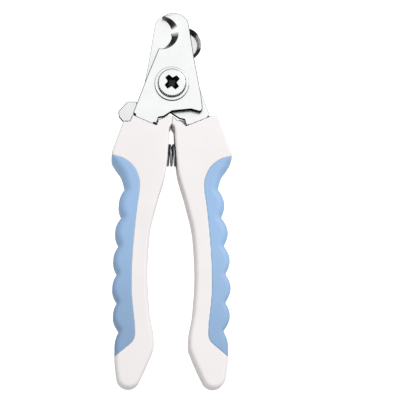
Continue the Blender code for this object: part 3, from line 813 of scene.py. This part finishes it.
def make_blade(name, body, side):
    """The front blade for side 1; for side -1 the same plate turned over."""
    low, high = node_box(name)
    thick = high[2] - low[2]
    top, bottom, notch_start = blade_outlines()
    count = len(top)
    contact_edge = np.where(np.arange(count) > notch_start, KEEN_EDGE, DULL_EDGE)
    points, faces = plate(top, bottom, 0.0, thick, BLADE_EDGE, contact_edge)
    points = np.array(points)
    if side < 0:
        points = points * (-1, 1, -1) + (0, 0, thick)
    points[:, 2] += low[2]
    # The front blade's notch bevel takes the painted reflection bands; the rear blade's is plain ground
    # steel.
    bevel = NOTCH_REFLECTION_PAINT if side > 0 else GROUND_STEEL
    blade = mesh_piece(f"{name}_plate", points, faces, [BLADE_STEEL, bevel, EDGE_SHADE_PAINT], BLADE_SHARP_DEG)
    # The blade's edges get the painted shade.
    paint_edge_shade(blade, 2)
    for face in blade.data.polygons:
        spots = [v % count for v in face.vertices]
        if len(spots) == 4 and min(spots) >= notch_start:
            face.material_index = 1
    holes = [bar(PIVOT, PIVOT_BORE_R, low[2] - 1, high[2] + 1)]
    for y in PIN_YS:
        holes.append(bar((-side * PIN_X, y), PIN_R + GAP, low[2] - 1, high[2] + 1))
    if side < 0:
        centre, radius = stop_pin_round()
        holes.append(bar(centre, radius + 0.1, low[2] - 1, high[2] + 1, 24))
    cut_away(blade, *holes, sharp_deg=BLADE_SHARP_DEG)
    dress(blade, body, "blade_steel", name)


# ---------------- pivot hardware


TURNED_SHARP_DEG = 30
WAVES = 3  # crests round the wave washer
NUT_BORE_R = 2.0
SLEEVE_R = 2.9
FLANGE_THICK = 1.4
SLOT_HALF, SLOT_DEPTH = 0.55, 0.5


def turned_piece(node, profile, centre, sides, finish, body, slot):
    points, faces = lathe(profile, centre, sides)
    dress(mesh_piece(f"{node}_turned", points, faces, [finish], TURNED_SHARP_DEG), body, slot, node)


def washer(name, inner, outer, finish, slot, edge, wave=0.0):
    """A flat ring in its CAD node's place, or a wavy one, on the left body."""
    low, high = node_box(name)
    bottom, top = low[2] + wave, high[2] - wave
    corners = [(inner, bottom, edge), (outer, bottom, edge), (outer, top, edge), (inner, top, edge)]
    centre = (low + high)[:2] / 2
    points, faces = lathe(rounded(corners), centre, closed=True)
    if wave:
        for i, (x, y, z) in enumerate(points):
            points[i] = (x, y, z + wave * math.sin(WAVES * math.atan2(y - centre[1], x - centre[0])))
    ring = mesh_piece(f"{name}_ring", points, faces, [finish, EDGE_SHADE_PAINT], TURNED_SHARP_DEG)
    # The ring's edges get the painted shade.
    paint_edge_shade(ring, 1)
    dress(ring, "left", slot, name)


KNURLS = 46
KNURL_DEPTH = 0.3
KNURL_STEPS = 10  # mesh steps for each tooth
GROOVE_SHARE = 0.28  # half of a groove painted dark as shade, as a share of a tooth's pitch
CHAMFER = 0.6
DOME = 0.6  # rise of the head's face above its side
SHANK_R = 1.7
RECESS_TURN_DEG = 40.0
RECESS_DEPTH = 2.4
RECESS_REACH, RECESS_HALF = 4.0, 1.2  # half span and half width of the cross, above the face
RECESS_FOOT_REACH, RECESS_FOOT_HALF = 1.7, 0.55  # the same at the bottom


def recess_cutter(low, high):
    """Tapered cross, narrow at the bottom, for a crosshead driver."""
    rings = []
    web = 0.3  # how far the corners between the cross's arms stand out from them
    for z, reach, half, softness in (
        (low, RECESS_FOOT_REACH, RECESS_FOOT_HALF, 0.12),
        (high, RECESS_REACH, RECESS_HALF, 0.3),
    ):
        corners = []
        for k in range(4):
            turn = Matrix.Rotation(math.radians(90 * k + RECESS_TURN_DEG), 2)
            for x, y in ((reach, -half), (reach, half), (half + web, half + web)):
                spun = turn @ Vector((x, y))
                corners.append((PIVOT[0] + spun.x, PIVOT[1] + spun.y, softness))
        rings.append([(x, y, z) for x, y in rounded(corners, 3)])
    return rings[0] + rings[1], skin(2, len(rings[0]))


def make_screw():
    """Nearly flat head with a knurled side and a deep cross recess."""
    low, high = node_box("pivot_screw")
    under = node_box("front_washer")[1][2] + 0.2
    rim = high[0] - PIVOT[0]
    face_r = rim - CHAMFER
    side_top = high[2] - DOME
    profile = [(0.3, low[2]), (SHANK_R - 0.2, low[2]), (SHANK_R, low[2] + 0.3), (SHANK_R, under)]
    profile += [(rim - 0.5, under), (rim - 0.12, under + 0.12), (rim, under + 0.3)]
    profile.append((rim, side_top - CHAMFER))
    for t in np.linspace(0, 1, 14):
        radius = max(face_r * (1 - t), 0.05)
        profile.append((radius, side_top + DOME * (1 - (1 - t) ** 2)))

    def knurl(a, radius, z):
        if radius <= face_r or z < under + 0.1:
            return radius
        return radius - KNURL_DEPTH * (0.5 - 0.5 * math.cos(KNURLS * a))

    sides = KNURLS * KNURL_STEPS
    points, faces = lathe(profile, PIVOT, sides, ripple=knurl)
    screw = mesh_piece("pivot_screw_head", points, faces, [POLISHED, RECESS_SHADE_PAINT], 40)
    # The knurl's grooves and the head's steep faces get the painted shade.
    for face in screw.data.polygons:
        across = Vector(face.center[:2]) / MM - Vector(PIVOT)
        tooth = math.atan2(across.y, across.x) / (2 * math.pi) * KNURLS % 1
        in_groove = across.length > face_r + 0.02 and abs(tooth - 0.5) < GROOVE_SHARE
        if face.center.z / MM > under and (in_groove or abs(face.normal.z) < 0.3):
            face.material_index = 1
    # The recess's walls get the painted shade too.
    recess = recess_cutter(high[2] - RECESS_DEPTH, high[2] + 0.4)
    cut_away(screw, recess, finish_number=1, sharp_deg=40)
    dress(screw, "left", "polished_steel", "pivot_screw")


def make_nut():
    """Flanged sleeve nut with a driver's slot across the flange, to both sides of its bore."""
    low, high = node_box("pivot_nut")
    flange = high[0] - PIVOT[0]
    top = low[2] + FLANGE_THICK
    corners = [(NUT_BORE_R, low[2], 0.2), (flange, low[2], 0.5), (flange, top, 0.25), (SLEEVE_R, top, 0.15)]
    corners += [(SLEEVE_R, high[2], 0.2), (NUT_BORE_R, high[2], 0.2)]
    points, faces = lathe(rounded(corners), PIVOT, closed=True)
    nut = mesh_piece("pivot_nut_turned", points, faces, [POLISHED], TURNED_SHARP_DEG)
    slots = []
    for side in (1, -1):
        ys = sorted((PIVOT[1] + side * 2.6, PIVOT[1] + side * (flange + 1)))
        zs = (low[2] - 1, low[2] + SLOT_DEPTH)
        box = [(x, y, z) for x in (-SLOT_HALF, SLOT_HALF) for y in ys for z in zs]
        sides = [(0, 1, 3, 2), (4, 6, 7, 5), (0, 4, 5, 1), (2, 3, 7, 6), (0, 2, 6, 4), (1, 5, 7, 3)]
        slots.append((box, sides))
    cut_away(nut, *slots)
    dress(nut, "left", "polished_steel", "pivot_nut")


def make_pivot():
    make_screw()
    make_nut()
    washer("front_washer", 2.2, 7.5, POLISHED, "polished_steel", edge=0.25)
    washer("rear_washer", PIVOT_BORE_R, 6.0, POLISHED, "polished_steel", edge=0.15)
    washer("wave_washer", PIVOT_BORE_R, 5.0, WIRE, "spring_steel", edge=0.08, wave=0.1)


# ---------------- guard, latch and spring


GUARD_LOW, GUARD_HIGH = node_box("safety_guard")
GUARD_TOP = GUARD_HIGH[2]
GUARD_THICK = 1.1
GUARD_HUB_R = 6.4
DISH_R = 7.5
DISH_SHEET = 0.5
LIP_WIDTH = 0.45
HUB_R, NOSE_REACH = 3.0, 5.4  # the latch lever's hub, and its nose's distance from the rivet
RIVET_R, RIVET_HEAD_R, RIVET_HEAD = 1.3, 2.3, 0.55
SPRING_WIRE_R = 0.55
SPRING_TURNS = 9


def band(r, z, start, end):
    """Distance in a turned section from a straight stretch between two points (radius, z)."""
    span = (end[0] - start[0], end[1] - start[1])
    t = ((r - start[0]) * span[0] + (z - start[1]) * span[1]) / (span[0] ** 2 + span[1] ** 2)
    t = np.clip(t, 0, 1)
    return np.hypot(r - start[0] - t * span[0], z - start[1] - t * span[1])


def make_guard():
    """A thin arm from the pivot to a pressed dish, one sheet with a soft step between them."""
    out = Vector(DISH) - Vector(PIVOT)
    angle = math.degrees(math.atan2(out.y, out.x))
    across = Vector((-out.y, out.x)).normalized()
    outline = arc(PIVOT, GUARD_HUB_R, angle + 40, angle + 320, 60)
    for along, half in ((0.62, -3.2), (0.9, -5.0), (0.9, 5.0), (0.62, 3.2)):  # share of the way, half width
        outline.append(tuple(Vector(PIVOT) + out * along + across * half))
    arm_plan = Plan(soften(outline, 0.7, 0.3), (-8.0, 42.0), (16.0, 80.0), 0.1)
    floor = GUARD_LOW[2] + DISH_SHEET / 2
    rim = GUARD_TOP - DISH_SHEET / 2
    mouth = DISH_R - DISH_SHEET / 2
    foot = (mouth - 1.0, floor)
    knee = (mouth - 0.6, rim - 0.8)

    def field(x, y, z):
        arm = raised(arm_plan(x, y), z, GUARD_TOP - GUARD_THICK, GUARD_TOP, 0.3)
        arm = cut(arm, cylinder(x - PIVOT[0], y - PIVOT[1], PIVOT_BORE_R), 0.3)
        r = np.hypot(x - DISH[0], y - DISH[1])
        arm = cut(arm, r - DISH_R + 0.4, 0.2)
        dish = band(r, z, (0.0, floor), foot)
        dish = either(dish, band(r, z, foot, knee), 0.6)
        dish = either(dish, band(r, z, knee, (mouth, rim)), 0.3) - DISH_SHEET / 2
        return either(arm, dish, 0.5)

    cell = 0.16
    points, quads = net(field, GUARD_LOW - 3 * cell, GUARD_HIGH + 3 * cell, cell)
    guard = mesh_piece("safety_guard_pressing", points, quads, [SHEET, DISH_REFLECTION_PAINT])
    # The dish's inner wall and its lip get the painted reflection bands.
    for face in guard.data.polygons:
        x, y, z = np.array(face.center) / MM
        reach = math.hypot(x - DISH[0], y - DISH[1])
        inward = face.normal.x * (x - DISH[0]) + face.normal.y * (y - DISH[1]) < 0
        on_lip = z > rim - 0.1 and reach > DISH_R - LIP_WIDTH
        if on_lip or (inward and reach > foot[0] - 0.4):
            face.material_index = 1
    dress(guard, "guard", "sheet_steel", "safety_guard")


def make_lever():
    """A flat stamping: a thumb tab, a hub round the rivet and the nose that catches the rear blade."""
    nose = Vector(LATCH) + Matrix.Rotation(math.radians(-7), 2) @ Vector((NOSE_REACH, 0))
    outline = [(-18.0, 33.7), (-20.8, 33.9), (-23.0, 36.5), (-23.2, 38.9), (-19.3, 43.3), (-15.3, 43.3)]
    outline += arc(LATCH, HUB_R, 62, 18, 6) + arc(nose, 0.9, 80, -100, 10) + arc(LATCH, HUB_R, -32, -158, 20)
    plan = Plan(soften(outline, 0.3, 0.15), (-25.0, 28.0), (-6.0, 46.0), 0.08)

    def field(x, y, z):
        shape = raised(plan(x, y), z, LEVER_LOW[2], LEVER_HIGH[2], 0.35)
        return cut(shape, cylinder(x - LATCH[0], y - LATCH[1], LATCH_BORE_R), 0.2)

    cell = 0.14
    points, quads = net(field, LEVER_LOW - 3 * cell, LEVER_HIGH + 3 * cell, cell)
    lever = mesh_piece("latch_lever_stamping", points, quads, [SHEET, EDGE_SHADE_PAINT])
    # The lever's edges get the painted shade.
    paint_edge_shade(lever, 1)
    dress(lever, "latch", "sheet_steel", "latch_lever")


def make_latch():
    make_lever()
    washer("latch_washer", LATCH_BORE_R, 2.6, POLISHED, "polished_steel", edge=0.1)
    low, high = node_box("latch_rivet")
    head = high[2] - RIVET_HEAD
    profile = [(0.05, low[2]), (RIVET_R - 0.1, low[2]), (RIVET_R, low[2] + 0.1), (RIVET_R, head)]
    profile += [(RIVET_HEAD_R - 0.1, head), (RIVET_HEAD_R, head + 0.1), (RIVET_HEAD_R, head + 0.2)]
    profile += [(RIVET_HEAD_R - 0.3, head + 0.4), (RIVET_R, head + 0.5), (0.05, high[2])]
    turned_piece("latch_rivet", profile, LATCH, 64, POLISHED, "left", "polished_steel")


def make_stop_pin():
    low, high = node_box("guard_stop_pin")
    centre, r = stop_pin_round()
    profile = [(0.05, low[2]), (0.6 * r, low[2] + 0.03), (0.85 * r, low[2] + 0.12), (r, low[2] + 0.35)]
    profile += [(r, high[2] - 0.1), (r - 0.1, high[2]), (0.05, high[2])]
    turned_piece("guard_stop_pin", profile, centre, 48, SHEET, "right", "sheet_steel")


def make_spring():
    """A compression coil along X."""
    half = float(SPRING_HIGH[0] - SPRING_LOW[0]) / 2
    wire = SPRING_WIRE_R
    radius = float(SPRING_HIGH[1] - SPRING_LOW[1]) / 2 - wire
    steps, sides = 40 * SPRING_TURNS, 12
    winding = 2 * math.pi * SPRING_TURNS
    points = []
    for i in range(steps + 1):
        t = i / steps
        a = winding * t
        x = (half - wire) * (2 * t - 1)
        out = Vector((0, math.cos(a), math.sin(a)))
        centre = Vector((x, SPRING_Y, MID_Z)) + radius * out
        along = Vector((2 * (half - wire) / winding, -radius * math.sin(a), radius * math.cos(a)))
        across = along.normalized().cross(out)
        for k in range(sides):
            b = 2 * math.pi * k / sides
            points.append(tuple(centre + wire * (math.cos(b) * out + math.sin(b) * across)))
    spring = mesh_piece("return_spring_coil", points, skin(steps + 1, sides), [WIRE], 50)
    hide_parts("return_spring")
    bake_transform(spring)


def finish_hidden_nodes():
    """Procedural finishes for the CAD nodes that stay: the tang pins and the spring's studs."""
    for name, thing in frame["nodes"].items():
        if thing.hide_render:
            continue
        chosen = WHITE if "spring_seat" in name else SHEET
        thing.data.materials.clear()
        thing.data.materials.append(chosen)


# ---------------- stage, light and camera


def make_floor():
    """A pale sheet that shows white, a little darker in front of and behind the tool for its reflections."""
    half = 0.9
    below = -0.00002
    mesh = bpy.data.meshes.new("floor")
    corners = [(-half, -half, below), (half, -half, below), (half, half, below), (-half, half, below)]
    mesh.from_pydata(corners, [], [(0, 1, 2, 3)])
    floor = bpy.data.objects.new("floor", mesh)
    bpy.context.scene.collection.objects.link(floor)
    made, tree, shader, place = shader_tree("pale_floor", roughness=0.6)
    parts = tree.nodes.new("ShaderNodeSeparateXYZ")
    tree.links.new(place, parts.inputs["Vector"])
    away = tree.nodes.new("ShaderNodeMath")
    away.operation = "ABSOLUTE"
    tree.links.new(parts.outputs["Y"], away.inputs[0])
    shade = ramp(tree, away.outputs[0], [(0.095, 0.45), (0.135, 0.3)])
    tree.links.new(shade, shader.inputs["Base Color"])
    shader.inputs["Emission Color"].default_value = (0.25, 0.25, 0.25, 1)
    direct = tree.nodes.new("ShaderNodeLightPath").outputs["Is Camera Ray"]
    strength = tree.nodes.new("ShaderNodeMapRange")
    strength.inputs["To Min"].default_value = 1.0
    strength.inputs["To Max"].default_value = 4.0
    tree.links.new(direct, strength.inputs["Value"])
    tree.links.new(strength.outputs["Result"], shader.inputs["Emission Strength"])
    shader.inputs["Specular IOR Level"].default_value = 0.1
    mesh.materials.append(made)


def make_world():
    """Bright overhead, dimmer round the horizon, and a little brighter again at the far left."""
    world = bpy.data.worlds.new("studio")
    bpy.context.scene.world = world
    world.use_nodes = True
    tree = world.node_tree
    back = tree.nodes["Background"]
    place = tree.nodes.new("ShaderNodeTexCoord").outputs["Generated"]
    parts = tree.nodes.new("ShaderNodeSeparateXYZ")
    tree.links.new(place, parts.inputs["Vector"])
    height = ramp(tree, parts.outputs["Z"], [(0.0, 0.3), (0.42, 0.34), (0.6, 0.55), (0.8, 0.98)])
    left = tree.nodes.new("ShaderNodeMath")
    left.operation = "MULTIPLY"
    left.inputs[1].default_value = -1.0
    tree.links.new(parts.outputs["X"], left.inputs[0])
    lobe = ramp(tree, left.outputs[0], [(0.8, 0.0), (0.93, 0.45)])
    total = tree.nodes.new("ShaderNodeMix")
    total.data_type = "RGBA"
    total.blend_type = "LIGHTEN"
    total.inputs["Factor"].default_value = 1.0
    tree.links.new(height, total.inputs["A"])
    tree.links.new(lobe, total.inputs["B"])
    tree.links.new(total.outputs["Result"], back.inputs["Color"])
    back.inputs["Strength"].default_value = 1.1


def softbox(name, place, target, size, power):
    light = bpy.data.lights.new(name, "AREA")
    light.shape = "RECTANGLE"
    light.size, light.size_y = size
    light.energy = power
    made = bpy.data.objects.new(name, light)
    made.location = place
    made.rotation_euler = (Vector(target) - Vector(place)).to_track_quat("-Z", "Y").to_euler()
    bpy.context.scene.collection.objects.link(made)


def make_camera():
    """Long lens nearly overhead, a little to the front and left; the tool sits left of centre."""
    target = Vector((0.0125, -0.0003, 0.008))
    tilt_down, tilt_left = math.radians(9.5), math.radians(3)
    back = Vector((-math.tan(tilt_left), -math.tan(tilt_down), 1)).normalized()
    up = (Vector((0, 1, 0)) - back * back.y).normalized()
    right = up.cross(back)
    lens = bpy.data.cameras.new("camera")
    lens.lens = 180
    lens.sensor_width = 36
    lens.dof.use_dof = False
    width = 0.1738
    distance = width * lens.lens / lens.sensor_width
    camera = bpy.data.objects.new("camera", lens)
    pose = Matrix((right, up, back)).transposed().to_4x4()
    pose.translation = target + back * distance
    camera.matrix_world = pose
    lens.clip_start, lens.clip_end = 0.05, 10
    bpy.context.scene.collection.objects.link(camera)
    bpy.context.scene.camera = camera


def main():
    make_handle("left", -1, "front_blade")
    make_handle("right", 1, "rear_blade")
    make_blade("front_blade", "left", 1)
    make_blade("rear_blade", "right", -1)
    make_pivot()
    make_guard()
    make_latch()
    make_stop_pin()
    make_spring()
    finish_hidden_nodes()
    make_floor()
    make_world()
    softbox("key", (0.55, 0.5, 0.62), (0, 0, 0), (0.5, 0.5), 4.0)
    softbox("left_card", (-0.12, 0.075, 0.022), (0, 0.075, 0.01), (0.05, 0.04), 0.005)
    make_camera()
    bpy.context.scene.view_settings.view_transform = "Standard"


main()
